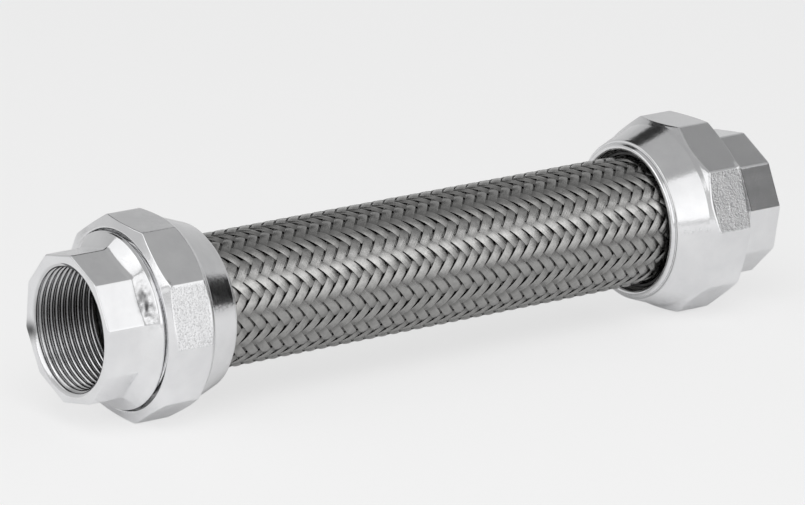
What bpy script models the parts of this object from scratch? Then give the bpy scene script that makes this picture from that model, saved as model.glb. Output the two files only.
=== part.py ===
"""Braided stainless steel flexible hose with a threaded union at each end.

The hose lies along X with +Z up. The origin is under the middle of the hose, at the height of the lowest
corner of the union nuts. Each union is built once, in its own frame: local Z points out of the hose and
its zero is the outer face of the union, so a point at depth d below that face has z = -d. Two empties
carry that frame to the two ends. All sizes are in metres.
"""

import math

import bmesh
import bpy
from mathutils import Matrix, Vector

# Whole hose
overall_length = 0.306
seat_clearance = 0.0003
round_segments = 40
sleeve_segments = 28
gasket_segments = 20

# Corrugated inner hose, which the water runs through
waterway_radius = 0.0199
hose_thickness = 0.0051
corrugation_pitch = 0.0110
corrugation_wall = 0.0004
corrugation_segments = 20

# Braid, whose outside is the outside of the hose
braid_wall = 0.0016
braid_relief = 0.0010
strands_each_way = 24
strand_spacing = 0.00544
strand_gap = 0.00084
strand_dive = 0.0006
braid_turn_angle = 6.0
braid_shift = -0.0011

# Ferrule that clamps the braid
ferrule_length = 0.0045
ferrule_wall = 0.0012

# Hose collar, the flange that the nut pulls on
collar_flange_length = 0.0042
collar_face_recess = 0.0006

# Flat gasket
gasket_thickness = 0.0020
gasket_width = 0.0062

# Threaded end: female pipe thread, flats, flared skirt, union thread
pipe_step = 0.0040
pipe_thread_depth = 0.00148
pipe_thread_length = 0.0262
pipe_mouth_countersink = 0.0008
pipe_relief_length = 0.0042
body_sides = 10
body_rim_width = 0.0023
body_flats_length = 0.0157
body_edge_break = 0.0005
skirt_overhang = 0.0043
skirt_length = 0.0036
skirt_rim_length = 0.0015
union_thread_length = 0.0186
union_seat_width = 0.0066
union_thread_chamfer = 0.0012

# Union nut
nut_sides = 10
nut_step_width = 0.0027
nut_wall = 0.0067
nut_front_chamfer = 0.0020
nut_flats_length = 0.0161
nut_shoulder_drop = 0.0019
nut_shoulder_length = 0.0026
nut_neck_length = 0.0075
nut_lip_width = 0.0025
nut_lip_round = 0.0010
nut_hole_gap = 0.0007
nut_mouth_width = 0.0034
nut_mouth_bevel = 0.0030

# How far each piece is turned about the hose, in degrees
left_nut_turn = 12.7
left_body_turn = 29.2
right_nut_turn = 17.4
right_body_turn = 11.2

# Sizes that follow from the ones above
skirt_back = body_flats_length + skirt_length + skirt_rim_length
union_thread_end = skirt_back + union_thread_length
gasket_start = union_thread_end + seat_clearance
gasket_end = gasket_start + gasket_thickness
collar_start = gasket_end + seat_clearance
collar_back = collar_start + collar_flange_length
nut_start = skirt_back + seat_clearance
nut_shoulder = collar_back + seat_clearance
nut_end = nut_shoulder + nut_neck_length
braid_start = nut_shoulder
ferrule_end = braid_start + ferrule_length
half_length = overall_length / 2
braid_half_length = half_length - braid_start
relief_half_length = half_length - ferrule_end - seat_clearance
braid_outer_radius = waterway_radius + hose_thickness
braid_low_radius = braid_outer_radius - braid_relief
braid_band_radius = braid_outer_radius - braid_relief / 2
braid_inner_radius = braid_outer_radius - braid_wall
half_strand_angle = math.pi / strands_each_way
crossing_length = math.hypot(strand_spacing / 2, braid_outer_radius * half_strand_angle)
strand_pitch = strand_spacing * braid_outer_radius * half_strand_angle / crossing_length
braid_clear_radius = braid_inner_radius * math.cos(half_strand_angle) - seat_clearance
ferrule_inner_radius = braid_band_radius + seat_clearance + 0.4 * braid_relief
ferrule_outer_radius = ferrule_inner_radius + ferrule_wall
nut_hole_radius = ferrule_outer_radius + nut_hole_gap
union_thread_radius = nut_hole_radius + nut_step_width
nut_cavity_radius = union_thread_radius + seat_clearance
nut_mouth_radius = union_thread_radius + nut_mouth_width
nut_across_flats = 2 * (union_thread_radius + nut_wall)
nut_corner_radius = nut_across_flats / 2 / math.cos(math.pi / nut_sides)
pipe_thread_radius = waterway_radius + pipe_step
pipe_minor_radius = pipe_thread_radius - pipe_thread_depth
pipe_mouth_radius = pipe_thread_radius + pipe_mouth_countersink
body_across_flats = 2 * (pipe_mouth_radius + body_rim_width)
skirt_radius = body_across_flats / 2 / math.cos(math.pi / body_sides) + skirt_overhang


def lowest_corner(corner_radius, sides, turn_degrees):
    """Depth below the axis of the lowest corner of a flat sided piece that is turned about the hose."""
    step = 360.0 / sides
    nearest = (turn_degrees + 180.0) % step
    nearest = min(nearest, step - nearest)
    return corner_radius * math.cos(math.radians(nearest))


axis_height = max(
    lowest_corner(nut_corner_radius, nut_sides, left_nut_turn),
    lowest_corner(nut_corner_radius, nut_sides, right_nut_turn + 180.0),
)


def clear_scene():
    for item in list(bpy.data.objects):
        bpy.data.objects.remove(item, do_unlink=True)


def collection(name):
    group = bpy.data.collections.new(name)
    bpy.context.scene.collection.children.link(group)
    return group


def material(name, color, metallic, roughness):
    mat = bpy.data.materials.new(name)
    mat.use_nodes = True
    shader = mat.node_tree.nodes["Principled BSDF"]
    shader.inputs["Base Color"].default_value = (*color, 1.0)
    shader.inputs["Metallic"].default_value = metallic
    shader.inputs["Roughness"].default_value = roughness
    mat.diffuse_color = (*color, 1.0)
    return mat


def add_object(name, mesh, group, mat=None):
    item = bpy.data.objects.new(name, mesh)
    group.objects.link(item)
    if mat:
        mesh.materials.append(mat)
    return item


def turned_mesh(name, outline, closed=True):
    """A profile of (radius, depth) points, ready for a Screw modifier about local Z."""
    mesh = bpy.data.meshes.new(name)
    verts = [(radius, 0.0, -depth) for radius, depth in outline]
    edges = [(i, i + 1) for i in range(len(verts) - 1)]
    if closed:
        edges.append((len(verts) - 1, 0))
    mesh.from_pydata(verts, edges, [])
    return mesh


def add_screw(item, segments):
    screw = item.modifiers.new("Turn", "SCREW")
    screw.axis = "Z"
    screw.steps = segments
    screw.render_steps = segments
    screw.use_merge_vertices = True
    screw.merge_threshold = 0.00001
    screw.use_smooth_shade = True
    return screw


def add_boolean(item, cutter, operation):
    boolean = item.modifiers.new(operation.title(), "BOOLEAN")
    boolean.operation = operation
    boolean.solver = "EXACT"
    boolean.object = cutter
    return boolean


def as_guide(item):
    item.hide_render = True
    item.display_type = "WIRE"


def prism_mesh(name, sides, across_flats, start, end, edge_break):
    """A flat sided bar about local Z, from depth start to depth end, with a corner on local X."""
    corner_radius = across_flats / 2 / math.cos(math.pi / sides)
    bm = bmesh.new()
    bmesh.ops.create_cone(
        bm,
        cap_ends=True,
        segments=sides,
        radius1=corner_radius,
        radius2=corner_radius,
        depth=end - start,
    )
    first = max(bm.verts, key=lambda v: (round(v.co.x, 7), v.co.y))
    turn = -math.atan2(first.co.y, first.co.x)
    bmesh.ops.rotate(bm, verts=bm.verts, matrix=Matrix.Rotation(turn, 3, "Z"))
    bmesh.ops.translate(bm, verts=bm.verts, vec=Vector((0, 0, -(start + end) / 2)))
    if edge_break > 0:
        rim = [e for e in bm.edges if all(abs(v.co.z + start) < 1e-6 for v in e.verts)]
        bmesh.ops.bevel(
            bm, geom=rim, offset=edge_break, offset_type="OFFSET", segments=1, affect="EDGES"
        )
    mesh = bpy.data.meshes.new(name)
    bm.to_mesh(mesh)
    bm.free()
    return mesh


# Threaded end


def threaded_end_outline():
    """The turned core: skirt flared out of the flats, rim, undercut and union thread."""
    flat_radius = body_across_flats / 2
    inside = flat_radius - 0.0012
    crest = union_thread_radius
    return [
        (0.0, body_flats_length * 0.4),
        (inside, body_flats_length * 0.4),
        (inside, body_flats_length - 0.0032),
        (flat_radius + 0.0003, body_flats_length - 0.0012),
        (flat_radius + 0.0022, body_flats_length + 0.0006),
        (skirt_radius, skirt_back - skirt_rim_length),
        (skirt_radius, skirt_back),
        (crest, skirt_back),
        (crest, union_thread_end - union_thread_chamfer),
        (crest - union_thread_chamfer, union_thread_end),
        (0.0, union_thread_end),
    ]


def pipe_bore_outline():
    """The bore: countersunk mouth, thread at its crest radius, relief groove, waterway and seat."""
    minor = pipe_minor_radius
    relief_start = pipe_thread_length
    relief_end = pipe_thread_length + pipe_relief_length
    over = 0.004
    countersink = pipe_mouth_radius - minor
    return [
        (0.0, -over),
        (pipe_mouth_radius + over, -over),
        (minor, countersink),
        (minor, relief_start),
        (pipe_thread_radius + seat_clearance, relief_start + 0.0008),
        (pipe_thread_radius + seat_clearance, relief_end - 0.0008),
        (union_thread_radius - union_seat_width, relief_end),
        (union_thread_radius - union_seat_width, union_thread_end + over),
        (0.0, union_thread_end + over),
    ]


def build_threaded_end_mesh(parts, guides, mat):
    core_mesh = turned_mesh("threaded_end", threaded_end_outline(), False)
    core = add_object("threaded_end_left", core_mesh, parts, mat)
    add_screw(core, round_segments)
    flats_end = body_flats_length + 0.0016
    flats = add_object(
        "threaded_end_flats",
        prism_mesh("threaded_end_flats", body_sides, body_across_flats, 0.0, flats_end, body_edge_break),
        guides,
    )
    as_guide(flats)
    bore = add_object("pipe_bore", turned_mesh("pipe_bore", pipe_bore_outline(), False), guides)
    add_screw(bore, round_segments)
    as_guide(bore)
    add_boolean(core, flats, "UNION")
    add_boolean(core, bore, "DIFFERENCE")
    return core, [(flats, 0.0), (bore, 90.0 / round_segments)]


# Union nut


def union_nut_outline():
    """Ring section of the nut: mouth, chamfered front, coned back, rounded lip, shoulder and thread bore."""
    flat_radius = nut_across_flats / 2
    over = nut_corner_radius + 0.0004
    shoulder_start = nut_start + nut_flats_length
    shoulder_radius = nut_corner_radius - nut_shoulder_drop
    cone_start = shoulder_start + nut_shoulder_length
    lip_radius = nut_hole_radius + nut_lip_width
    lip_back = nut_end - nut_lip_round * 1.6
    thread_start = nut_start + nut_mouth_bevel
    return [
        (nut_mouth_radius, nut_start),
        (nut_mouth_radius + 0.0006, nut_start),
        (over, nut_start + nut_front_chamfer * 1.06),
        (over, shoulder_start - 0.0002),
        (nut_corner_radius, shoulder_start),
        (min(shoulder_radius, flat_radius - 0.0001), cone_start - nut_shoulder_length * 0.3),
        (shoulder_radius - 0.0012, cone_start),
        (lip_radius + 0.0006, lip_back),
        (lip_radius, lip_back + nut_lip_round * 0.7),
        (lip_radius - nut_lip_round, nut_end),
        (nut_hole_radius, nut_end - nut_lip_round * 0.6),
        (nut_hole_radius, nut_shoulder),
        (nut_cavity_radius, nut_shoulder),
        (nut_cavity_radius, thread_start),
    ]


def build_union_nut_mesh(parts, guides, mat):
    nut = add_object("union_nut_left", turned_mesh("union_nut", union_nut_outline()), parts, mat)
    add_screw(nut, round_segments)
    flats = add_object(
        "union_nut_flats",
        prism_mesh(
            "union_nut_flats", nut_sides, nut_across_flats, nut_start - 0.004, nut_end + 0.004, 0.0
        ),
        guides,
    )
    as_guide(flats)
    add_boolean(nut, flats, "INTERSECT")
    return nut, [(flats, 0.0)]


# Collar, gasket and ferrule


def collar_outline():
    """Flange face with a raised seat, flange, and the hub that the corrugated hose is welded to."""
    hub_radius = braid_clear_radius
    flange_radius = nut_cavity_radius - seat_clearance
    seat_radius = union_thread_radius - union_thread_chamfer
    return [
        (waterway_radius, collar_start),
        (seat_radius, collar_start),
        (flange_radius, collar_start + collar_face_recess),
        (flange_radius, collar_back),
        (hub_radius, collar_back),
        (hub_radius, ferrule_end),
        (waterway_radius, ferrule_end),
    ]


def gasket_outline():
    outer = union_thread_radius - union_thread_chamfer
    inner = outer - gasket_width
    return [(inner, gasket_start), (outer, gasket_start), (outer, gasket_end), (inner, gasket_end)]


def ferrule_outline():
    """A short sleeve, rolled in at its open edge where it grips the braid."""
    outer = ferrule_outer_radius
    inner = ferrule_inner_radius
    roll = ferrule_wall * 0.4
    return [
        (inner, braid_start),
        (outer, braid_start),
        (outer, ferrule_end - roll),
        (outer - roll, ferrule_end),
        (inner, ferrule_end),
    ]


def build_turned(name, outline, segments, parts, mat):
    item = add_object(name, turned_mesh(name, outline), parts, mat)
    add_screw(item, segments)
    return item


# Corrugated inner hose


def corrugated_outline():
    """Half a wall thickness line of the bellows, as (radius, distance along the hose)."""
    half = half_length - ferrule_end - seat_clearance
    crest = braid_clear_radius - seat_clearance - corrugation_wall / 2
    root = waterway_radius + corrugation_wall / 2
    count = max(2, round(2 * half / corrugation_pitch))
    pitch = 2 * half / count
    points = [(root, -half)]
    for k in range(count):
        start = -half + k * pitch
        points.append((crest, start + 0.5 * pitch))
        if k < count - 1:
            points.append((root, start + pitch))
    points.append((root, half))
    return points


def build_corrugated_hose(parts, mat):
    mesh = turned_mesh("corrugated_hose", corrugated_outline(), False)
    item = add_object("corrugated_hose", mesh, parts, mat)
    add_screw(item, corrugation_segments)
    wall = item.modifiers.new("Wall", "SOLIDIFY")
    wall.thickness = corrugation_wall
    wall.offset = 0.0
    wall.use_even_offset = False
    return item


# Braid, the feature that gives the hose its look


def rising_on_top(column):
    """True in the columns where the strands that rise with +X lie on top: two over, two under."""
    return column % 4 < 2


def braid_point(radius, turn, along):
    """A point of the braid: turn 0 faces -Y and grows upwards."""
    return Vector((along, -radius * math.cos(turn), radius * math.sin(turn)))


def build_braid(parts, mat):
    """A woven sleeve as one closed tube.

    Its points lie on a lattice of columns round the hose and rows along it, half a strand spacing
    apart. Where column and row are both even or both odd, four strands leave a low point between
    them, and at every other point two strands cross. Each strand lies over two crossings and then
    dives under two, so the outside is tiled by floats, which are two crossings long and stand up
    from the low points round them.
    """
    columns = 2 * strands_each_way
    step = strand_spacing / 2
    first_row = math.ceil((-relief_half_length + 0.3 * step - braid_shift) / step)
    last_row = math.floor((relief_half_length - 0.3 * step - braid_shift) / step)
    float_half_length = 1 - strand_dive / crossing_length
    float_half_width = 0.5 * (1 - strand_gap / strand_pitch)
    bm = bmesh.new()
    shared = {}

    def lattice_point(column, row, radius):
        turn = math.radians(braid_turn_angle) + column * half_strand_angle
        return bm.verts.new(braid_point(radius, turn, braid_shift + row * step))

    def corner(column, row):
        """The shared point of the lattice: high where two strands cross, low where four leave a hole."""
        key = (column % columns, row)
        if key not in shared:
            radius = braid_outer_radius if (column - row) % 2 else braid_low_radius
            shared[key] = lattice_point(*key, radius)
        return shared[key]

    def add_float(column, row, way):
        """The float whose first crossing is here. It moves on by one column with each row."""
        rim = [(-1, 0), (0, -1), (1, 0), (2, 1), (1, 2), (0, 1)]
        low = [corner(column + way * across, row + along) for across, along in rim]
        top = []
        for ahead, aside in ((-1, -1), (-1, 1), (1, 1), (1, -1)):
            ahead = ahead * float_half_length
            aside = aside * float_half_width
            across = 0.5 + ahead + aside
            along = 0.5 + ahead - aside
            top.append(lattice_point(column + way * across, row + along, braid_outer_radius))
        faces = [(low[0], low[1], top[1]), (low[0], top[1], top[0])]
        faces += [(low[1], low[2], top[1]), (low[2], top[2], top[1]), (low[2], low[3], top[2])]
        faces += [(low[3], low[4], top[3]), (low[3], top[3], top[2])]
        faces += [(low[4], low[5], top[3]), (low[5], top[0], top[3]), (low[5], low[0], top[0])]
        faces += [(top[0], top[1], top[3]), (top[1], top[2], top[3])]
        for face in faces:
            bm.faces.new(face)

    def add_crossing(column, row):
        """A lone crossing at the end of the weave, where no whole float fits."""
        middle = corner(column, row)
        for next_row in (row - 1, row + 1):
            if first_row <= next_row <= last_row:
                tip = corner(column, next_row)
                bm.faces.new((middle, corner(column - 1, row), tip))
                bm.faces.new((middle, tip, corner(column + 1, row)))

    for row in range(first_row, last_row + 1):
        for column in range(columns):
            if (column - row) % 2 == 0:
                continue
            way = 1 if rising_on_top(column) else -1
            begins = column % 4 in (0, 3)
            float_row = row if begins else row - 1
            if first_row < float_row and float_row + 1 < last_row:
                if begins:
                    add_float(column, row, way)
            else:
                add_crossing(column, row)

    def plain_ring(radius, along, every=1):
        start = math.radians(braid_turn_angle)
        turns = [start + column * half_strand_angle for column in range(0, columns, every)]
        return [bm.verts.new(braid_point(radius, turn, along)) for turn in turns]

    inner_rings = []
    for side, end_row in ((-1, first_row), (1, last_row)):
        weave_end = [corner(c, end_row) for c in range(columns)]
        band_start = plain_ring(braid_band_radius, side * relief_half_length)
        band_end = plain_ring(braid_band_radius, side * braid_half_length)
        inner = plain_ring(braid_inner_radius, side * braid_half_length, every=2)
        inner_rings.append(inner)
        for c in range(columns):
            n = (c + 1) % columns
            if (c - end_row) % 2:
                bm.faces.new((weave_end[c], weave_end[n], band_start[n]))
                bm.faces.new((weave_end[c], band_start[n], band_start[c]))
            else:
                bm.faces.new((weave_end[c], weave_end[n], band_start[c]))
                bm.faces.new((weave_end[n], band_start[n], band_start[c]))
            bm.faces.new((band_start[c], band_start[n], band_end[n], band_end[c]))
        for k in range(len(inner)):
            a, m, b = (band_end[(2 * k + step_on) % columns] for step_on in (0, 1, 2))
            i, j = inner[k], inner[(k + 1) % len(inner)]
            for face in ((a, m, i), (m, b, j), (m, j, i)):
                bm.faces.new(face)
    left_ring, right_ring = inner_rings
    for k in range(len(left_ring)):
        n = (k + 1) % len(left_ring)
        bm.faces.new((left_ring[k], left_ring[n], right_ring[n], right_ring[k]))
    bmesh.ops.recalc_face_normals(bm, faces=bm.faces)
    mesh = bpy.data.meshes.new("braid")
    bm.to_mesh(mesh)
    bm.free()
    return add_object("braid", mesh, parts, mat)


def place_on_axis(item, axis_empty):
    item.parent = axis_empty


def copy_of(item, name, group, swaps):
    """Another object with the same mesh and modifiers, but with the cutters of its own end."""
    twin = item.copy()
    twin.name = name
    group.objects.link(twin)
    for modifier in twin.modifiers:
        if modifier.type == "BOOLEAN":
            modifier.object = swaps[modifier.object]
    return twin


def build_unions(parts, guides, axis_empty, looks):
    end, end_guides = build_threaded_end_mesh(parts, guides, looks["plated"])
    nut, nut_guides = build_union_nut_mesh(parts, guides, looks["plated"])
    collar = build_turned("hose_collar_left", collar_outline(), sleeve_segments, parts, looks["steel"])
    gasket = build_turned("gasket_left", gasket_outline(), gasket_segments, parts, looks["rubber"])
    ferrule = build_turned("ferrule_left", ferrule_outline(), sleeve_segments, parts, looks["steel"])
    left = [(end, end_guides, left_body_turn), (nut, nut_guides, left_nut_turn)]
    left += [(item, [], 0.0) for item in (collar, gasket, ferrule)]
    right_turns = [right_body_turn, right_nut_turn, 0.0, 0.0, 0.0]
    right = []
    for (item, own_guides, _), turn in zip(left, right_turns):
        swaps = {}
        twin_guides = []
        for guide, offset in own_guides:
            twin_guide = guide.copy()
            twin_guide.name = guide.name + "_right"
            guides.objects.link(twin_guide)
            swaps[guide] = twin_guide
            twin_guides.append((twin_guide, offset))
        twin = copy_of(item, item.name.replace("_left", "_right"), parts, swaps)
        right.append((twin, twin_guides, turn))
    for side, sign, pieces in (("left", -1, left), ("right", 1, right)):
        frame = bpy.data.objects.new(side + "_union", None)
        guides.objects.link(frame)
        frame.parent = axis_empty
        frame.location = (sign * half_length, 0, 0)
        frame.rotation_euler = (0, sign * math.pi / 2, 0)
        for item, own_guides, turn in pieces:
            # A turned piece sits half a segment round, so its facets are even about each corner
            for each, offset in [(item, 180.0 / round_segments)] + own_guides:
                each.parent = frame
                each.rotation_euler = (0, 0, math.radians(turn + offset))


def build():
    clear_scene()
    parts = collection("stainless_steel_flexible_hose")
    guides = collection("guides")
    looks = {
        "plated": material("plated_iron", (0.74, 0.74, 0.76), 1.0, 0.22),
        "steel": material("stainless_steel", (0.55, 0.54, 0.52), 1.0, 0.30),
        "braid": material("steel_braid", (0.58, 0.57, 0.55), 1.0, 0.28),
        "rubber": material("gasket_fibre", (0.10, 0.11, 0.12), 0.0, 0.75),
    }
    axis_empty = bpy.data.objects.new("hose_axis", None)
    guides.objects.link(axis_empty)
    axis_empty.location = (0, 0, axis_height)
    build_unions(parts, guides, axis_empty, looks)
    corrugated = build_corrugated_hose(parts, looks["steel"])
    corrugated.rotation_euler = (0, math.pi / 2, 0)
    braid = build_braid(parts, looks["braid"])
    for item in (corrugated, braid):
        place_on_axis(item, axis_empty)
    bpy.context.view_layer.update()


build()
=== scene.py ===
import math
import random

import bmesh
import bpy
import numpy as np
from mathutils import Matrix, Vector, noise


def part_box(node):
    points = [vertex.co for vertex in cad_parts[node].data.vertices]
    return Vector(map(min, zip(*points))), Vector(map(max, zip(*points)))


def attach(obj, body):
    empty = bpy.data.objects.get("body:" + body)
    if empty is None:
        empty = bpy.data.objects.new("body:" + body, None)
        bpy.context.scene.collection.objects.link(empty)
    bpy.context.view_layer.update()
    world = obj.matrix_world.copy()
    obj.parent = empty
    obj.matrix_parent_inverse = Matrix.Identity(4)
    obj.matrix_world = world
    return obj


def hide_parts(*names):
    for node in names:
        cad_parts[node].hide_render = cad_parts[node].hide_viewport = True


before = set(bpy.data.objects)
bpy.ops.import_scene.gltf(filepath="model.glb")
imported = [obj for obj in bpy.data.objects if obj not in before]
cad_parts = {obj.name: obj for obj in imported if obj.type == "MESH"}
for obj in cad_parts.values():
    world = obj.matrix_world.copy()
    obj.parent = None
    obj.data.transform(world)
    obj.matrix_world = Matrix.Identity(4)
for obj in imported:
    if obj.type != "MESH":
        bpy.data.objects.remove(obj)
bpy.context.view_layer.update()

# Frame of the part, in metres. "ang" is the turn about the hose: 0 faces -Y and 90 faces up.
# "u" is the distance from the outer face of a union, inwards along the hose.
HALF = float(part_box("threaded_end_right")[1][0])
BRAID_LO, BRAID_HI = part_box("braid")
AXIS = float(BRAID_LO[2] + BRAID_HI[2]) / 2

# Unions: the sides of each nut and end, and how many columns of points each side has
SIDES = 10
FLAT_TURN = 360.0 / SIDES
NUT_COLUMNS = 24
END_COLUMNS = 22
RING_COLUMNS = 96
CORNER_ROUND = 0.00045
EDGE_ROUND = 0.0004

# Union nut
NUT_FLATS = 0.0730
NUT_START = 0.0211
NUT_SHOULDER = 0.0372
CONE_START = NUT_SHOULDER + 0.0030
NUT_END = 0.0540
NUT_HOLE = 0.0271
NUT_LIP = 0.0309
BEAD = 0.00135  # radius of the bead rolled round the hole
NUT_MOUTH = 0.0332
NUT_CAVITY = 0.0301
NUT_CAVITY_END = 0.0465
LINE_FINE = 0.00018  # gap between rows on a rounded edge
LINE_COARSE = 0.0006  # and on a plain stretch

# Threaded end
END_FLATS = 0.0540
SKIRT = 0.0327
FLARE_START = 0.0148
SKIRT_FRONT = 0.0193
SKIRT_BACK = 0.0208
RIM_EDGE = 0.0007
UNION_THREAD = 0.0298
UNION_THREAD_END = 0.0394
SEAT_RADIUS = 0.0232
PIPE_MAJOR = 0.0239
PIPE_MOUTH = 0.0247
PIPE_THREAD_END = 0.0262
RELIEF_END = 0.0304
THREAD_PITCH = 0.002309
THREAD_DEPTH = 0.00148

# Turns of the flats, as the angle "ang" of one corner
CORNER = {
    "union_nut_left": 102.7,
    "threaded_end_left": 119.2,
    "union_nut_right": 72.6,
    "threaded_end_right": 78.8,
}

# Camera, fitted to the photo's frame, in degrees, metres and pixels
CAMERA_AZIMUTH = -35.792
CAMERA_ELEVATION = 15.708
CAMERA_DISTANCE = 2.1058
FOCAL_PIXELS = 5655.6
FRAME_WIDTH = 805.0
SHIFT_PIXELS = (-11.708, 9.176)
SENSOR_WIDTH = 36.0

# Braid
STRANDS = 24
SPACING = 0.00544
BRAID_SHIFT = -0.0011
BRAID_TURN = 6.0
BRAID_MID = 0.02452
BRAID_WAVE = 0.00048
WIRES = 8
STRAND_WIDTH = 0.00335
WIRE_RISE = 0.00008
STRAND_CROWN = 0.00030
STRAND_THICK = 0.00040
STRAND_JITTER = 0.00002
WIRE_JITTER = 0.00003
# Turn and width of the painted sheen on the braid
PAINTED_SHEEN_TURN = 29.0
PAINTED_SHEEN_WIDTH = 17.0

# Inner hose
WATERWAY = 0.0199
FOLDS = 44
FOLD_ROWS = 8
FOLD_CREST = 0.02235
FOLD_WALL = 0.00030


def place(side, u, radius, ang):
    """Points of one union as world coordinates: side is -1 at the left and 1 at the right."""
    x = side * (HALF - u) + 0.0 * radius
    return np.stack([x, -radius * np.cos(ang) + 0.0 * u, AXIS + radius * np.sin(ang) + 0.0 * u], axis=-1)


def soft_min(a, b, width):
    """The lower of two heights, with the edge between them rounded over about one width."""
    gap = np.abs(a - b)
    ease = np.maximum(width - gap, 0.0) / width
    return np.minimum(a, b) - ease * ease * width * 0.25


def soft_max(a, b, width):
    """The higher of two heights, rounded over in the same way."""
    return -soft_min(-a, -b, width)


def turn_from(ang, middle):
    """Turn in degrees from a middle given in degrees, between -180 and 180."""
    return (np.degrees(ang) - middle + 180.0) % 360.0 - 180.0


def new_object(name, data):
    made = bpy.data.objects.new(name, data)
    bpy.context.scene.collection.objects.link(made)
    return made


def store_attributes(mesh, attributes):
    for label, values in attributes.items():
        layer = mesh.attributes.new(label, "FLOAT", "POINT")
        layer.data.foreach_set("value", np.asarray(values, np.float32).ravel())


def loop_mesh(name, points, attributes=None):
    """A closed ring shape from rows of points round the hose.

    Each row runs once round, from 0 to 360 degrees, so its last point meets its first, or the next turn of a
    helix. Points that coincide are merged, which closes the shape.
    """
    rows, columns = points.shape[:2]
    verts = points.reshape(-1, 3)
    row = np.arange(rows)[:, None]
    column = np.arange(columns - 1)[None, :]
    following = (row + 1) % rows
    faces = np.stack(
        [
            row * columns + column,
            row * columns + column + 1,
            following * columns + column + 1,
            following * columns + column,
        ],
        axis=-1,
    ).reshape(-1, 4)
    mesh = bpy.data.meshes.new(name)
    mesh.from_pydata(verts.tolist(), [], faces.tolist())
    store_attributes(mesh, attributes or {})
    bm = bmesh.new()
    bm.from_mesh(mesh)
    bmesh.ops.remove_doubles(bm, verts=bm.verts, dist=2e-6)
    bmesh.ops.dissolve_degenerate(bm, edges=bm.edges, dist=1e-7)
    bmesh.ops.recalc_face_normals(bm, faces=bm.faces)
    for face in bm.faces:
        face.smooth = True
    bm.to_mesh(mesh)
    bm.free()
    return mesh


def sharpen(mesh, degrees):
    """Mark the edges where faces meet at more than this angle, so that they shade crisp."""
    bm = bmesh.new()
    bm.from_mesh(mesh)
    limit = math.radians(degrees)
    for edge in bm.edges:
        edge.smooth = len(edge.link_faces) == 2 and edge.calc_face_angle() < limit
    bm.to_mesh(mesh)
    bm.free()


def add_piece(name, mesh, mat, body, nodes):
    piece = new_object(name, mesh)
    mesh.materials.append(mat)
    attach(piece, body)
    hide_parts(*nodes)
    return piece


# Materials


class Nodes:
    """Shorthand for the node tree of one material."""

    def __init__(self, name, color, metallic, roughness):
        self.mat = bpy.data.materials.new(name)
        self.mat.use_nodes = True
        self.tree = self.mat.node_tree
        self.shader = self.tree.nodes["Principled BSDF"]
        self.shader.inputs["Base Color"].default_value = (*color, 1.0)
        self.shader.inputs["Metallic"].default_value = metallic
        self.shader.inputs["Roughness"].default_value = roughness
        self.coords = self.node("ShaderNodeTexCoord").outputs["Object"]

    def node(self, kind, **settings):
        made = self.tree.nodes.new(kind)
        for key, value in settings.items():
            setattr(made, key, value)
        return made

    def link(self, source, target):
        self.tree.links.new(source, target)

    def noise(self, scale, detail, rough, stretch=None):
        made = self.node("ShaderNodeTexNoise")
        made.inputs["Scale"].default_value = scale
        made.inputs["Detail"].default_value = detail
        made.inputs["Roughness"].default_value = rough
        source = self.coords
        if stretch:
            mapping = self.node("ShaderNodeMapping")
            mapping.inputs["Scale"].default_value = stretch
            self.link(self.coords, mapping.inputs["Vector"])
            source = mapping.outputs["Vector"]
        self.link(source, made.inputs["Vector"])
        return made.outputs["Fac"]

    def attribute(self, label):
        return self.node("ShaderNodeAttribute", attribute_name=label).outputs["Fac"]

    def math(self, operation, a, b):
        made = self.node("ShaderNodeMath", operation=operation)
        for socket, value in zip(made.inputs, (a, b)):
            if hasattr(value, "is_output"):
                self.link(value, socket)
            else:
                socket.default_value = value
        return made.outputs["Value"]

    def ramp(self, source, stops):
        """Map a value to another through stops of (position, value)."""
        made = self.node("ShaderNodeValToRGB")
        ramp = made.color_ramp
        ramp.elements[0].position, ramp.elements[1].position = stops[0][0], stops[-1][0]
        for position, _ in stops[1:-1]:
            ramp.elements.new(position)
        for element, (_, value) in zip(ramp.elements, stops):
            shade = value if isinstance(value, tuple) else (value, value, value)
            element.color = (*shade, 1.0)
        self.link(source, made.inputs["Fac"])
        return made.outputs["Color"]

    def mix(self, factor, a, b, blend="MIX"):
        made = self.node("ShaderNodeMix", data_type="RGBA", blend_type=blend)
        for socket, value in zip((made.inputs[0], made.inputs[6], made.inputs[7]), (factor, a, b)):
            if hasattr(value, "is_output"):
                self.link(value, socket)
            elif isinstance(value, tuple):
                socket.default_value = (*value, 1.0)
            else:
                socket.default_value = value
        return made.outputs[2]

    def bump(self, height, strength, distance):
        made = self.node("ShaderNodeBump")
        made.inputs["Strength"].default_value = strength
        made.inputs["Distance"].default_value = distance
        self.link(height, made.inputs["Height"])
        return made.outputs["Normal"]

    def finish(self, color=None, roughness=None, normal=None):
        for value, socket in ((color, "Base Color"), (roughness, "Roughness"), (normal, "Normal")):
            if value is not None:
                self.link(value, self.shader.inputs[socket])
        return self.mat


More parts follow.
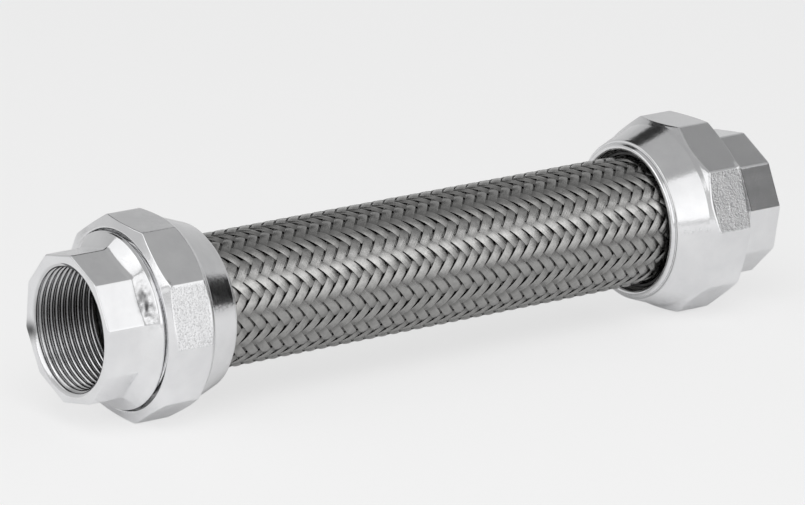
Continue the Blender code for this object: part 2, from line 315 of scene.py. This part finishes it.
def plated_iron():
    """Bright plating over cast iron: smooth and slightly wavy, with grainy patches where "cast" is high."""
    n = Nodes("plated_iron", (0.88, 0.885, 0.895), 1.0, 0.20)
    cast = n.attribute("cast")
    cloud = n.noise(90.0, 4.0, 0.6)
    tone = n.ramp(cloud, [(0.30, (0.84, 0.842, 0.855)), (0.62, (0.90, 0.902, 0.912)), (0.85, (0.93, 0.932, 0.94))])
    speck = n.ramp(n.noise(1500.0, 3.0, 0.6), [(0.34, 0.74), (0.52, 1.0)])
    grain_color = n.mix(1.0, tone, speck, "MULTIPLY")
    color = n.mix(cast, tone, grain_color)
    # Painted shade in grooves and recesses, and real marks such as the rough spot on the flare, darken the colour
    # where this attribute is high
    painted_shade_and_marks = n.ramp(n.attribute("painted_shade_and_marks"), [(0.0, 1.0), (0.35, 0.62), (1.0, 0.10)])
    color = n.mix(1.0, color, painted_shade_and_marks, "MULTIPLY")
    rough = n.ramp(n.noise(240.0, 5.0, 0.65), [(0.30, 0.11), (0.70, 0.18)])
    rough = n.mix(cast, rough, (0.18, 0.18, 0.18))
    fine = n.bump(n.noise(900.0, 4.0, 0.55), 0.07, 0.0004)
    grain = n.node("ShaderNodeBump")
    grain.inputs["Distance"].default_value = 0.0004
    n.link(n.math("MULTIPLY", cast, 0.45), grain.inputs["Strength"])
    n.link(n.noise(1500.0, 3.0, 0.6), grain.inputs["Height"])
    n.link(fine, grain.inputs["Normal"])
    return n.finish(color, rough, grain.outputs["Normal"])


def braid_steel():
    """Stainless wire: streaks along the wire, painted darker as shade where strands dive, in the lines between wires
    and underneath, and painted brighter along one side as a sheen.
    """
    n = Nodes("steel_braid", (0.60, 0.59, 0.57), 1.0, 0.26)
    painted_braid_shade = n.attribute("painted_braid_shade")
    streak = n.noise(700.0, 4.0, 0.6)
    tone = n.ramp(streak, [(0.30, (0.53, 0.527, 0.518)), (0.55, (0.635, 0.63, 0.618)), (0.80, (0.72, 0.714, 0.702))])
    # Painted shade where strands dive, in the lines between wires and underneath
    shade = n.ramp(painted_braid_shade, [(0.0, 0.26), (0.40, 0.60), (0.70, 0.96), (1.0, 1.08)])
    color = n.mix(1.0, tone, shade, "MULTIPLY")
    # Painted sheen: brighter along one side of the braid, darker round the rest
    color = n.mix(1.0, color, n.attribute("painted_sheen"), "MULTIPLY")
    rough = n.ramp(n.noise(400.0, 3.0, 0.6), [(0.30, 0.12), (0.75, 0.20)])
    normal = n.bump(n.noise(1800.0, 2.0, 0.5), 0.12, 0.0003)
    return n.finish(color, rough, normal)


def plain_steel(name, color, roughness):
    n = Nodes(name, color, 1.0, roughness)
    cloud = n.noise(120.0, 4.0, 0.6)
    low = tuple(c * 0.86 for c in color)
    high = tuple(min(1.0, c * 1.10) for c in color)
    tone = n.ramp(cloud, [(0.30, low), (0.70, high)])
    rough = n.ramp(n.noise(300.0, 4.0, 0.6), [(0.30, roughness * 0.8), (0.70, roughness * 1.3)])
    normal = n.bump(n.noise(40.0, 3.0, 0.5, stretch=(60.0, 1.0, 1.0)), 0.10, 0.0003)
    return n.finish(tone, rough, normal)


def sealing_fibre():
    n = Nodes("gasket_fibre", (0.10, 0.11, 0.12), 0.0, 0.75)
    tone = n.ramp(n.noise(1400.0, 4.0, 0.7), [(0.30, (0.07, 0.08, 0.085)), (0.70, (0.16, 0.17, 0.18))])
    normal = n.bump(n.noise(2400.0, 3.0, 0.6), 0.35, 0.0004)
    return n.finish(tone, None, normal)


# Shapes of the unions


def polygon_radius(apothem, sides, corner, ang):
    """Radius of a flat sided bar in each direction, with its corners slightly rounded."""
    step = 2 * math.pi / sides
    middle = math.radians(corner) + step / 2
    radii = [apothem / np.maximum(np.cos(ang - middle - k * step), 0.05) for k in range(sides)]
    radii = np.sort(np.stack(radii), axis=0)
    return soft_min(radii[0], radii[1], CORNER_ROUND)


def columns_about(corner, sides, per_side):
    """Angles round the hose, closer together near the corners, from one corner once round to itself."""
    step = 2 * math.pi / sides
    t = np.arange(per_side) / per_side
    t = t - 0.55 * np.sin(2 * math.pi * t) / (2 * math.pi)
    angles = [math.radians(corner) + (k + t) * step for k in range(sides)]
    return np.concatenate(angles + [np.array([math.radians(corner) + 2 * math.pi])])


def along(points, spacing):
    """Fill a line of (u, radius) points so that no gap is longer than the spacing at that stretch."""
    filled = [points[0]]
    for (u0, r0), (u1, r1) in zip(points, points[1:]):
        length = math.hypot(u1 - u0, r1 - r0)
        count = max(1, math.ceil(length / spacing))
        for k in range(1, count + 1):
            filled.append((u0 + (u1 - u0) * k / count, r0 + (r1 - r0) * k / count))
    return filled


def arc(centre, radius, start, end, count):
    """Points of a rounded edge, with the angle measured from the inward direction of the hose."""
    turns = [math.radians(start + (end - start) * k / count) for k in range(count + 1)]
    return [(centre[0] + radius * math.cos(t), centre[1] + radius * math.sin(t)) for t in turns]


def thread_rows(start, end, ang, side):
    """Distances u of thread rows that follow the helix, held inside start and end."""
    steps = np.array([0.0, 0.14, 0.36, 0.5, 0.64, 0.86])
    turns = math.ceil((end - start) / THREAD_PITCH) + 3
    first = (np.arange(-2, turns)[:, None] + steps[None, :]).ravel()[:, None]
    # A right hand helix moves by +X for a positive turn about +X, and "ang" turns the other way
    lead = side * ang[None, :] / (2 * math.pi)
    return np.clip(start + THREAD_PITCH * (first + lead), start, end)


def thread_height(u, ang, side, start, phase):
    """0 in the groove and 1 on the crest, with both rounded."""
    turn = (u - start) / THREAD_PITCH - side * ang[None, :] / (2 * math.pi) + phase
    wave = 1.0 - 2.0 * np.abs((turn % 1.0) - 0.5)
    return np.clip((wave - 0.16) / 0.68, 0.0, 1.0)


def cast_wave(points, amount, scale, seed):
    """A gentle waviness for a cast surface."""
    flat = points.reshape(-1, 3)
    offset = Vector((seed * 1.7, seed * 0.9, seed * 2.3))
    values = [noise.noise(Vector(p) * scale + offset) for p in flat]
    return np.array(values).reshape(points.shape[:-1]) * amount


def bump_at(u, ang, u_mid, ang_mid, u_size, ang_size):
    """A soft spot at one place of a union, from 0 to 1."""
    turn = turn_from(ang, ang_mid)
    return np.exp(-(((u - u_mid) / u_size) ** 2) - (turn / ang_size) ** 2)


def nut_outer_line():
    """The turned outline of the nut, from its mouth over the outside to the hole."""
    corner = NUT_FLATS / 2 / math.cos(math.pi / SIDES)
    line = [(NUT_START + 0.0004, NUT_MOUTH), (NUT_START, NUT_MOUTH + 0.0005)]
    # Each stretch runs on to this u and radius, with rows this far apart
    for u, radius, spacing in (
        (NUT_START + 0.0001, NUT_MOUTH + 0.0010, 0.0004),
        (NUT_START + 0.0021, corner + 0.0004, LINE_FINE),
        (NUT_SHOULDER - 0.0004, corner + 0.0004, LINE_COARSE),
        (NUT_SHOULDER + 0.0018, corner - 0.0020, LINE_FINE),
        (CONE_START, corner - 0.0031, 0.0002),
        (NUT_END - 0.0019, NUT_LIP + 0.0001, 0.0005),
    ):
        line += along([line[-1], (u, radius)], spacing)[1:]
    line += [(NUT_END - 0.0017, NUT_LIP - 0.0001), (NUT_END - 0.00155, NUT_LIP - 0.0005)]
    line += [(NUT_END - 0.0019, NUT_HOLE + 2 * BEAD - 0.0002)]
    return line + arc((NUT_END - BEAD, NUT_HOLE + BEAD), BEAD, 95.0, -85.0, 14)


def union_nut(side, name, mat, cast_flat):
    corner = CORNER[name]
    ang = columns_about(corner, SIDES, NUT_COLUMNS)
    flats = polygon_radius(NUT_FLATS / 2, SIDES, corner, ang)
    outer = np.array(nut_outer_line())
    u = np.repeat(outer[:, :1], len(ang), axis=1)
    turned = np.repeat(outer[:, 1:], len(ang), axis=1)
    radius = soft_min(turned, flats[None, :] + 0.0 * turned, EDGE_ROUND)
    radius[u > CONE_START] = turned[u > CONE_START]
    points = place(side, u, radius, ang[None, :])

    # Grain and waviness of the casting
    mid = corner + FLAT_TURN * cast_flat + FLAT_TURN / 2
    off = np.minimum(np.abs(turn_from(ang, mid)), np.abs(turn_from(ang, mid + 180.0)))[None, :]
    on_flat = np.clip(FLAT_TURN / 2 - off, 0.0, 1.0)
    in_band = np.clip((u - NUT_START - 0.0015) / 0.0006, 0.0, 1.0)
    in_band = in_band * np.clip((NUT_SHOULDER + 0.0009 - u) / 0.0006, 0.0, 1.0)
    cast = on_flat * in_band
    lump = bump_at(u, ang[None, :], NUT_START + 0.0010, mid + 19.5, 0.0012, 2.4) * 0.0005
    seam_turn = 14.0 if side < 0 else 3.0
    seam = bump_at(u, ang[None, :], NUT_END - 0.0085, seam_turn, 0.0060, 1.3)
    seam = seam * (0.00006 + cast_wave(points, 0.00012, 900.0, 41.0 + side))
    wave = cast_wave(points, 0.000018, 130.0, 3.0 + side)
    grain = cast_wave(points, 0.000080, 1150.0, 9.0 + side) * cast
    outside = np.clip((u - NUT_START - 0.0008) / 0.001, 0.0, 1.0)
    outside = outside * np.clip((NUT_END - 0.0015 - u) / 0.001, 0.0, 1.0)
    radius = radius + (wave + seam) * outside + grain + lump
    rows_u, rows_r = [u], [radius]
    rows_c = [np.maximum(cast, np.clip(np.abs(seam) / 0.00006, 0.0, 1.0) * 0.8)]

    # Hole, shoulder that holds the collar, and the nut's own thread back to the mouth
    ones = np.ones((1, len(ang)))
    for at, r in (
        (NUT_CAVITY_END, NUT_HOLE),
        (NUT_CAVITY_END, NUT_CAVITY),
        (UNION_THREAD_END + 0.0016, NUT_CAVITY),
    ):
        rows_u.append(at * ones)
        rows_r.append(r * ones)
        rows_c.append(0.0 * ones)
    start, end = NUT_START + 0.0004, UNION_THREAD_END + 0.0008
    thread_u = thread_rows(start, end, ang, side)[::-1]
    height = thread_height(thread_u, ang, side, SKIRT_BACK, 0.0)
    groove = UNION_THREAD + 0.00026
    thread_r = groove - THREAD_DEPTH * (1.0 - height)
    # A cone at the mouth and the run-out into the cavity
    thread_r = np.maximum(thread_r, NUT_MOUTH - (thread_u - start) * 1.05)
    thread_r = np.maximum(thread_r, NUT_CAVITY - (end - thread_u) * 2.0)
    rows_u.append(thread_u)
    rows_r.append(thread_r)
    rows_c.append(0.0 * thread_u)
    u = np.concatenate(rows_u)
    radius = np.concatenate(rows_r)
    cast = np.concatenate(rows_c)
    # Painted shade: the hole, cavity and thread inside the nut are painted darker
    painted_shade_and_marks = 0.0 * u
    painted_shade_and_marks[len(outer):] = 0.45
    mesh = loop_mesh(name + "_cast", place(side, u, radius, ang[None, :]), {"cast": cast, "painted_shade_and_marks": painted_shade_and_marks})
    body = "nut_left" if side < 0 else "nut_right"
    return add_piece(name + "_cast", mesh, mat, body, [name])


def threaded_end(side, name, mat):
    corner = CORNER[name]
    ang = columns_about(corner, SIDES, END_COLUMNS)
    ones = np.ones((1, len(ang)))
    flats = polygon_radius(END_FLATS / 2, SIDES, corner, ang)[None, :]
    rows_u, rows_r = [], []

    def add(at, r):
        rows_u.append(at * ones)
        rows_r.append(r * ones)

    # Rim, a step in from the flats by the edge break
    for share in (0.0, 0.35, 0.7, 1.0):
        inner = PIPE_MOUTH + 0.0002
        add(0.0, inner + share * (flats - RIM_EDGE - inner))
    for turn in (25.0, 50.0, 75.0):
        t = math.radians(turn)
        add(RIM_EDGE * (1 - math.cos(t)), flats - RIM_EDGE * (1 - math.sin(t)))
    # Flats, run into the flare of the skirt, which turns from the ten sides to a round rim
    flat_u = list(np.linspace(0.0008, FLARE_START - 0.0012, 24))
    flat_u += list(np.linspace(FLARE_START - 0.0010, SKIRT_FRONT - 0.0002, 34))
    for at in flat_u:
        share = (at - FLARE_START) / (SKIRT_FRONT - FLARE_START)
        eased = float(soft_max(np.array(share), np.array(0.0), 0.22))
        add(at, flats + eased * (SKIRT - flats))
    for turn in (20.0, 45.0, 70.0, 90.0):
        t = math.radians(turn)
        add(SKIRT_FRONT + 0.0005 * (1 - math.cos(t)), SKIRT - 0.0002 + 0.0002 * math.sin(t))
    add(SKIRT_BACK - 0.0004, SKIRT)
    add(SKIRT_BACK - 0.0001, SKIRT - 0.0001)
    add(SKIRT_BACK, SKIRT - 0.0003)
    add(SKIRT_BACK, UNION_THREAD - THREAD_DEPTH - 0.0001)
    # Union thread, outside
    start, end = SKIRT_BACK + 0.0001, UNION_THREAD_END
    thread_u = thread_rows(start, end, ang, side)
    height = thread_height(thread_u, ang, side, SKIRT_BACK, 0.0)
    thread_r = UNION_THREAD - 0.0001 - THREAD_DEPTH * (1.0 - height)
    thread_r = np.minimum(thread_r, UNION_THREAD - 0.0015 + (end - thread_u) * 1.2)
    thread_r = np.minimum(thread_r, UNION_THREAD - THREAD_DEPTH - 0.0001 + (thread_u - start) * 1.4)
    rows_u.append(thread_u)
    rows_r.append(thread_r)
    # Seat for the gasket and the bore back to the relief groove
    add(UNION_THREAD_END, SEAT_RADIUS + 0.0010)
    add(UNION_THREAD_END, SEAT_RADIUS + 0.0003)
    add(UNION_THREAD_END - 0.0003, SEAT_RADIUS)
    add(RELIEF_END, SEAT_RADIUS)
    add(RELIEF_END - 0.0008, PIPE_MAJOR + 0.0003)
    add(PIPE_THREAD_END + 0.0008, PIPE_MAJOR + 0.0003)
    # Pipe thread, inside
    start, end = 0.0004, PIPE_THREAD_END + 0.0004
    bore_u = thread_rows(start, end, ang, side)[::-1]
    height = thread_height(bore_u, ang, side, 0.0, 0.5)
    bore_r = PIPE_MAJOR - THREAD_DEPTH * height
    bore_r = np.maximum(bore_r, PIPE_MOUTH - bore_u * 1.5)
    bore_r = np.maximum(bore_r, PIPE_MAJOR + 0.0003 - (end - bore_u) * 1.6)
    rows_u.append(bore_u)
    rows_r.append(bore_r)
    bore_rows = len(bore_u)
    u = np.concatenate(rows_u)
    radius = np.concatenate(rows_r)
    points = place(side, u, radius, ang[None, :])
    # Painted shade and light on the thread in the bore: its grooves are painted dark and its crests bright, a patch
    # low round the bore is painted lighter and one deeper in is painted darker
    painted_shade_and_marks = 0.0 * u
    crest = np.clip((PIPE_MAJOR - bore_r) / THREAD_DEPTH, 0.0, 1.0)
    mouth = np.clip((0.0014 - bore_u) / 0.0008, 0.0, 1.0)
    painted_light_patch = bump_at(bore_u, ang[None, :], 0.012, 232.0, 0.025, 34.0)
    painted_dark_patch = bump_at(bore_u, ang[None, :], 0.018, 180.0, 0.030, 26.0) * (1.0 - mouth)
    groove = (0.88 - 0.80 * crest**0.7) * (1.0 - mouth) * (1.0 - 0.70 * painted_light_patch)
    painted_shade_and_marks[-bore_rows:] = np.maximum(groove, painted_dark_patch * (1.0 - 0.18 * crest))
    # Painted shade on the seat and relief groove inside the bore
    painted_shade_and_marks[-bore_rows - 6 : -bore_rows] = 0.8
    # Waviness outside, a rough spot on the flare and, at the left, a dark mark on the rim
    outside = ((radius > PIPE_MOUTH + 0.0015) & (u < SKIRT_FRONT - 0.0005) & (u > 0.0006)).astype(float)
    radius = radius + cast_wave(points, 0.000025, 170.0, 21.0 + side) * outside
    rough_spot = bump_at(u, ang[None, :], 0.0166, 27.0, 0.0016, 11.0) * outside
    if side < 0:
        painted_shade_and_marks = np.maximum(painted_shade_and_marks, 0.95 * bump_at(u, ang[None, :], 0.0, 194.0, 0.0012, 7.0))
    pits = cast_wave(points, 1.0, 700.0, 31.0 + side)
    radius = radius + 0.00016 * pits * rough_spot
    painted_shade_and_marks = np.maximum(painted_shade_and_marks, np.clip(rough_spot * (0.75 + 1.6 * pits), 0.0, 1.0))
    points = place(side, u, radius, ang[None, :])
    mesh = loop_mesh(name + "_turned", points, {"cast": np.clip(rough_spot * 1.2, 0.0, 1.0), "painted_shade_and_marks": painted_shade_and_marks})
    body = "end_left" if side < 0 else "end_right"
    return add_piece(name + "_turned", mesh, mat, body, [name])


def turned_ring(name, side, line, mat):
    ang = np.linspace(0.0, 2 * math.pi, RING_COLUMNS + 1)
    line = np.array(line)
    u = np.repeat(line[:, :1], len(ang), axis=1)
    radius = np.repeat(line[:, 1:], len(ang), axis=1)
    mesh = loop_mesh(name + "_ring", place(side, u, radius, ang[None, :]))
    sharpen(mesh, 35.0)
    return add_piece(name + "_ring", mesh, mat, "hose", [name])


# Braid


def strand_points(direction, index, rng):
    """Points of one flat strand of wires: rows along the strand, columns across its top, edges and underside."""
    step = SPACING / 2
    half = float(BRAID_HI[0]) - 0.0002
    first = (-half - BRAID_SHIFT) / step
    last = (half - BRAID_SHIFT) / step
    rows = np.arange(math.ceil(first * 2), math.floor(last * 2) + 1) / 2
    rows = np.concatenate([[first], rows, [last]])
    column = 2 * index + 1 + direction * rows
    column_turn = math.radians(360.0 / (2 * STRANDS))
    slope = column_turn * BRAID_MID / step
    tangent = np.array([1.0, direction * slope]) / math.hypot(1.0, slope)
    # A rising strand is on top in columns 0 and 1 of each four, a falling one in columns 2 and 3
    wave = np.cos(2 * math.pi * (column - 0.5) / 4) * direction
    lift = np.sign(wave) * np.abs(wave) ** 0.85
    radius = BRAID_MID + BRAID_WAVE * lift + rng.uniform(-STRAND_JITTER, STRAND_JITTER)
    width = STRAND_WIDTH * rng.uniform(0.97, 1.03)
    across = []
    for k in range(WIRES + 1):
        across.append((k / WIRES - 0.5, 0.0))
        if k < WIRES:
            across.append(((k + 0.5) / WIRES - 0.5, WIRE_RISE))
    across = [(a, b - STRAND_CROWN * (2 * a) ** 2) for a, b in across]
    across += [(0.5, -STRAND_THICK), (-0.5, -STRAND_THICK)]
    q = np.array([a * width for a, _ in across])
    rise = np.array([b for _, b in across])
    jitter = np.array([rng.uniform(-WIRE_JITTER, WIRE_JITTER) for _ in across])
    s = BRAID_SHIFT + step * rows
    turn = math.radians(BRAID_TURN) + column_turn * column
    ds = -tangent[1] * q
    dt = tangent[0] * q / BRAID_MID
    ease = np.sin(rows[:, None] * 0.9 + index * 1.3) * 0.5 + 0.5
    r = radius[:, None] + rise[None, :] + jitter[None, :] * ease
    x = np.clip(s[:, None] + ds[None, :], -half, half)
    a = turn[:, None] + dt[None, :]
    points = np.stack([x, -r * np.cos(a), AXIS + r * np.sin(a)], axis=-1)
    # Painted sheen: the wires are painted brightest along one side of the hose, where the lamps catch them, and
    # darker round the rest
    painted_sheen = 0.64 + 0.44 * np.exp(-((turn_from(a, PAINTED_SHEEN_TURN) / PAINTED_SHEEN_WIDTH) ** 2))
    # Painted shade: darker where the strand dives under the crossing strands, in the lines between its wires and on
    # its underside
    shade = 0.5 + 0.5 * lift[:, None] * np.ones(len(q))[None, :]
    crest = np.array([1.0 if k % 2 else 0.6 for k in range(len(across))])
    crest[-2:] = 0.2
    return points, shade * crest[None, :], painted_sheen


def braid_half(direction, name, mat):
    """All strands that wind one way: 1 rises to the right and -1 falls."""
    rng = random.Random(11 + direction)
    verts, faces, shades, painted_sheens = [], [], [], []
    base = 0
    for index in range(STRANDS):
        points, shade, painted_sheen = strand_points(direction, index, rng)
        rows, columns = points.shape[:2]
        verts.append(points.reshape(-1, 3))
        shades.append(shade.ravel())
        painted_sheens.append(painted_sheen.ravel())
        r = np.arange(rows - 1)[:, None]
        c = np.arange(columns)[None, :]
        n = (c + 1) % columns
        quads = np.stack(
            [
                base + r * columns + c,
                base + r * columns + n,
                base + (r + 1) * columns + n,
                base + (r + 1) * columns + c,
            ],
            axis=-1,
        )
        faces += quads.reshape(-1, 4).tolist()
        # Caps at both ends of the strand
        faces.append([base + k for k in range(columns)][::-1])
        faces.append([base + (rows - 1) * columns + k for k in range(columns)])
        base += rows * columns
    mesh = bpy.data.meshes.new(name)
    mesh.from_pydata(np.concatenate(verts).tolist(), [], faces)
    store_attributes(mesh, {"painted_braid_shade": np.concatenate(shades), "painted_sheen": np.concatenate(painted_sheens)})
    bm = bmesh.new()
    bm.from_mesh(mesh)
    bmesh.ops.recalc_face_normals(bm, faces=bm.faces)
    columns = 2 * WIRES + 3
    for face in bm.faces:
        face.smooth = True
    # Crisp lines between the wires and along the edges of the strand
    for edge in bm.edges:
        a, b = (v.index % columns for v in edge.verts)
        valley = a == b and (a % 2 == 0 or a >= 2 * WIRES)
        edge.smooth = not valley
    bm.to_mesh(mesh)
    bm.free()
    return add_piece(name, mesh, mat, "hose", ["braid"])


def bellows(mat):
    """The corrugated inner hose, with narrow rounded folds."""
    half = float(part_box("corrugated_hose")[1][0])
    root = WATERWAY + FOLD_WALL
    s = np.linspace(-half, half, FOLDS * FOLD_ROWS + 1)
    wave = 0.5 - 0.5 * np.cos(2 * math.pi * FOLDS * (s + half) / (2 * half))
    outer = root + (FOLD_CREST - root) * wave**0.8
    line_s = np.concatenate([s, s[::-1]])
    line_r = np.concatenate([outer, (outer - FOLD_WALL)[::-1]])
    ang = np.linspace(0.0, 2 * math.pi, 65)
    x = np.repeat(line_s[:, None], len(ang), axis=1)
    r = np.repeat(line_r[:, None], len(ang), axis=1)
    points = np.stack([x, -r * np.cos(ang)[None, :], AXIS + r * np.sin(ang)[None, :]], axis=-1)
    mesh = loop_mesh("bellows", points)
    return add_piece("bellows", mesh, mat, "hose", ["corrugated_hose"])


def build_part():
    plated = plated_iron()
    wire = braid_steel()
    steel = plain_steel("stainless_steel", (0.58, 0.57, 0.55), 0.30)
    # Near-black steel for the ferrules, whose ends show in the gap under the nut's lip: the dark colour is painted
    # shadow there
    painted_shadow_steel = plain_steel("painted_shadow_steel", (0.10, 0.10, 0.10), 0.45)
    fibre = sealing_fibre()
    union_nut(-1, "union_nut_left", plated, -3)
    union_nut(1, "union_nut_right", plated, -2)
    threaded_end(-1, "threaded_end_left", plated)
    threaded_end(1, "threaded_end_right", plated)
    braid_half(1, "braid_strands_rising", wire)
    braid_half(-1, "braid_strands_falling", wire)
    bellows(steel)
    for side, label in ((-1, "left"), (1, "right")):
        turned_ring(
            "hose_collar_" + label,
            side,
            [
                (0.0420, WATERWAY),
                (0.0420, 0.0286),
                (0.0426, 0.0298),
                (0.0462, 0.0298),
                (0.0462, 0.0229),
                (0.0510, 0.0229),
                (0.0510, WATERWAY),
            ],
            steel,
        )
        turned_ring(
            "gasket_" + label,
            side,
            [(0.0397, 0.0224), (0.0397, 0.0286), (0.0417, 0.0286), (0.0417, 0.0224)],
            fibre,
        )
        # The ferrule ends are painted near black as the shadow in the gap under the nut's lip
        turned_ring(
            "ferrule_" + label,
            side,
            [
                (0.0465, 0.0252),
                (0.0465, 0.0264),
                (0.0504, 0.0264),
                (0.0508, 0.0262),
                (0.0510, 0.0258),
                (0.0510, 0.0252),
            ],
            painted_shadow_steel,
        )


# Stage, light and camera


def card_mesh(name, width, height):
    mesh = bpy.data.meshes.new(name)
    w, h = width / 2, height / 2
    mesh.from_pydata([(-w, -h, 0), (w, -h, 0), (w, h, 0), (-w, h, 0)], [], [(0, 1, 2, 3)])
    return mesh


def matt_material(name, shade):
    """A plain matt grey without gloss."""
    mat = bpy.data.materials.new(name)
    mat.use_nodes = True
    shader = mat.node_tree.nodes["Principled BSDF"]
    shader.inputs["Base Color"].default_value = (shade, shade, shade, 1.0)
    shader.inputs["Roughness"].default_value = 1.0
    shader.inputs["Specular IOR Level"].default_value = 0.0
    return mat


def add_floor():
    mesh = card_mesh("floor", 12.0, 12.0)
    floor = new_object("floor", mesh)
    mat = matt_material("pale_floor", 0.88)
    tree = mat.node_tree
    # Rays that show the floor see it at its own colour, with a part of the shadow kept
    path = tree.nodes.new("ShaderNodeLightPath")
    share = None
    for ray, part in (("Is Camera Ray", 0.74), ("Is Glossy Ray", 0.12), ("Is Transmission Ray", 0.12)):
        scaled = tree.nodes.new("ShaderNodeMath")
        scaled.operation = "MULTIPLY_ADD"
        tree.links.new(path.outputs[ray], scaled.inputs[0])
        scaled.inputs[1].default_value = part
        scaled.inputs[2].default_value = 0.0
        if share is not None:
            tree.links.new(share.outputs[0], scaled.inputs[2])
        share = scaled
    glow = tree.nodes.new("ShaderNodeEmission")
    glow.inputs["Color"].default_value = (0.92, 0.92, 0.92, 1.0)
    glow.inputs["Strength"].default_value = 1.0
    mix = tree.nodes.new("ShaderNodeMixShader")
    tree.links.new(share.outputs[0], mix.inputs[0])
    tree.links.new(tree.nodes["Principled BSDF"].outputs[0], mix.inputs[1])
    tree.links.new(glow.outputs[0], mix.inputs[2])
    tree.links.new(mix.outputs[0], tree.nodes["Material Output"].inputs["Surface"])
    mesh.materials.append(mat)


def add_world():
    """Soft grey surroundings, lighter at the horizon than overhead."""
    world = bpy.data.worlds.new("studio")
    bpy.context.scene.world = world
    world.use_nodes = True
    tree = world.node_tree
    background = tree.nodes["Background"]
    coords = tree.nodes.new("ShaderNodeTexCoord")
    split = tree.nodes.new("ShaderNodeSeparateXYZ")
    ramp = tree.nodes.new("ShaderNodeValToRGB")
    tree.links.new(coords.outputs["Generated"], split.inputs[0])
    tree.links.new(split.outputs["Z"], ramp.inputs["Fac"])
    tree.links.new(ramp.outputs["Color"], background.inputs["Color"])
    # Sine of the height above the horizon, and the grey there
    stops = [(0.0, 0.66), (0.12, 0.60), (0.27, 0.56), (0.42, 0.50), (0.75, 0.40), (0.95, 0.44), (1.0, 0.45)]
    ramp.color_ramp.elements[0].position = stops[0][0]
    ramp.color_ramp.elements[1].position = stops[-1][0]
    for position, _ in stops[1:-1]:
        ramp.color_ramp.elements.new(position)
    for element, (_, value) in zip(ramp.color_ramp.elements, stops):
        element.color = (value, value, value, 1.0)
    background.inputs["Strength"].default_value = 1.0


def area_light(name, location, target, size, radiance):
    """A soft box that looks this bright in a mirror, whatever its size."""
    data = bpy.data.lights.new(name, "AREA")
    data.shape = "RECTANGLE"
    data.size, data.size_y = size
    data.energy = radiance * size[0] * size[1] * math.pi
    lamp = new_object(name, data)
    lamp.location = location
    lamp.rotation_euler = (Vector(target) - Vector(location)).to_track_quat("-Z", "Y").to_euler()
    lamp.visible_camera = False
    return lamp


def add_flag(name, location, target, size, shade):
    """A dark studio card that only reflections and light see."""
    mesh = card_mesh(name, *size)
    card = new_object(name, mesh)
    mesh.materials.append(matt_material(name, shade))
    card.location = location
    card.rotation_euler = (Vector(target) - Vector(location)).to_track_quat("Z", "Y").to_euler()
    card.visible_camera = False


def toward(azimuth, elevation, distance, origin):
    """The point at this distance from the origin, with the azimuth counted from where the camera stands."""
    turn = math.radians(azimuth + CAMERA_AZIMUTH - 90.0)
    rise = math.radians(elevation)
    step = Vector((math.cos(turn) * math.cos(rise), math.sin(turn) * math.cos(rise), math.sin(rise)))
    return Vector(origin) + step * distance


def add_lights():
    centre = (0.0, 0.0, AXIS)
    left_union = (-0.105, -0.03, AXIS)
    right_union = (0.11, -0.03, AXIS)
    # Azimuth and elevation as seen from the camera's side, distance, aim, size and brightness in a mirror
    for name, azimuth, elevation, distance, aim, size, radiance in (
        ("soft_box_front", 40.5, 31.0, 1.35, centre, (1.93, 1.38), 0.565),
        ("soft_box_left", -48.0, 24.0, 1.50, left_union, (1.75, 0.90), 0.61),
        ("soft_box_high_left", -87.0, 38.0, 1.20, left_union, (0.90, 0.48), 0.60),
        ("fill", 0.0, 50.0, 2.20, centre, (1.60, 1.60), 2.5),
    ):
        lamp = area_light(name, toward(azimuth, elevation, distance, aim), aim, size, radiance)
        lamp.visible_glossy = name != "fill"
    # The same for the dark cards, with their own grey at the end
    for name, azimuth, elevation, distance, aim, size, shade in (
        ("grey_flag", 81.0, 17.5, 0.60, right_union, (0.26, 0.25), 0.28),
        ("black_flag", 111.0, 12.0, 1.10, left_union, (0.30, 0.42), 0.01),
        ("roof_flag", 135.0, 50.0, 1.20, right_union, (0.50, 0.35), 0.38),
        ("back_flag", -146.0, 45.0, 1.30, right_union, (1.00, 0.50), 0.04),
    ):
        add_flag(name, toward(azimuth, elevation, distance, aim), aim, size, shade)


def add_camera():
    azimuth, elevation = math.radians(CAMERA_AZIMUTH), math.radians(CAMERA_ELEVATION)
    back = Vector(
        (math.sin(azimuth) * math.cos(elevation), -math.cos(azimuth) * math.cos(elevation), math.sin(elevation))
    )
    right = Vector((math.cos(azimuth), math.sin(azimuth), 0.0))
    up = back.cross(right)
    data = bpy.data.cameras.new("camera")
    data.sensor_fit = "HORIZONTAL"
    data.sensor_width = SENSOR_WIDTH
    data.lens = FOCAL_PIXELS * SENSOR_WIDTH / FRAME_WIDTH
    data.shift_x = SHIFT_PIXELS[0] / FRAME_WIDTH
    data.shift_y = SHIFT_PIXELS[1] / FRAME_WIDTH
    data.clip_end = 50.0
    camera = new_object("camera", data)
    turn = Matrix((right, up, back)).transposed().to_4x4()
    camera.matrix_world = Matrix.Translation(Vector((0.0, 0.0, AXIS)) + back * CAMERA_DISTANCE) @ turn
    bpy.context.scene.camera = camera


add_camera()
add_floor()
add_world()
add_lights()
build_part()
bpy.context.scene.view_settings.view_transform = "Standard"
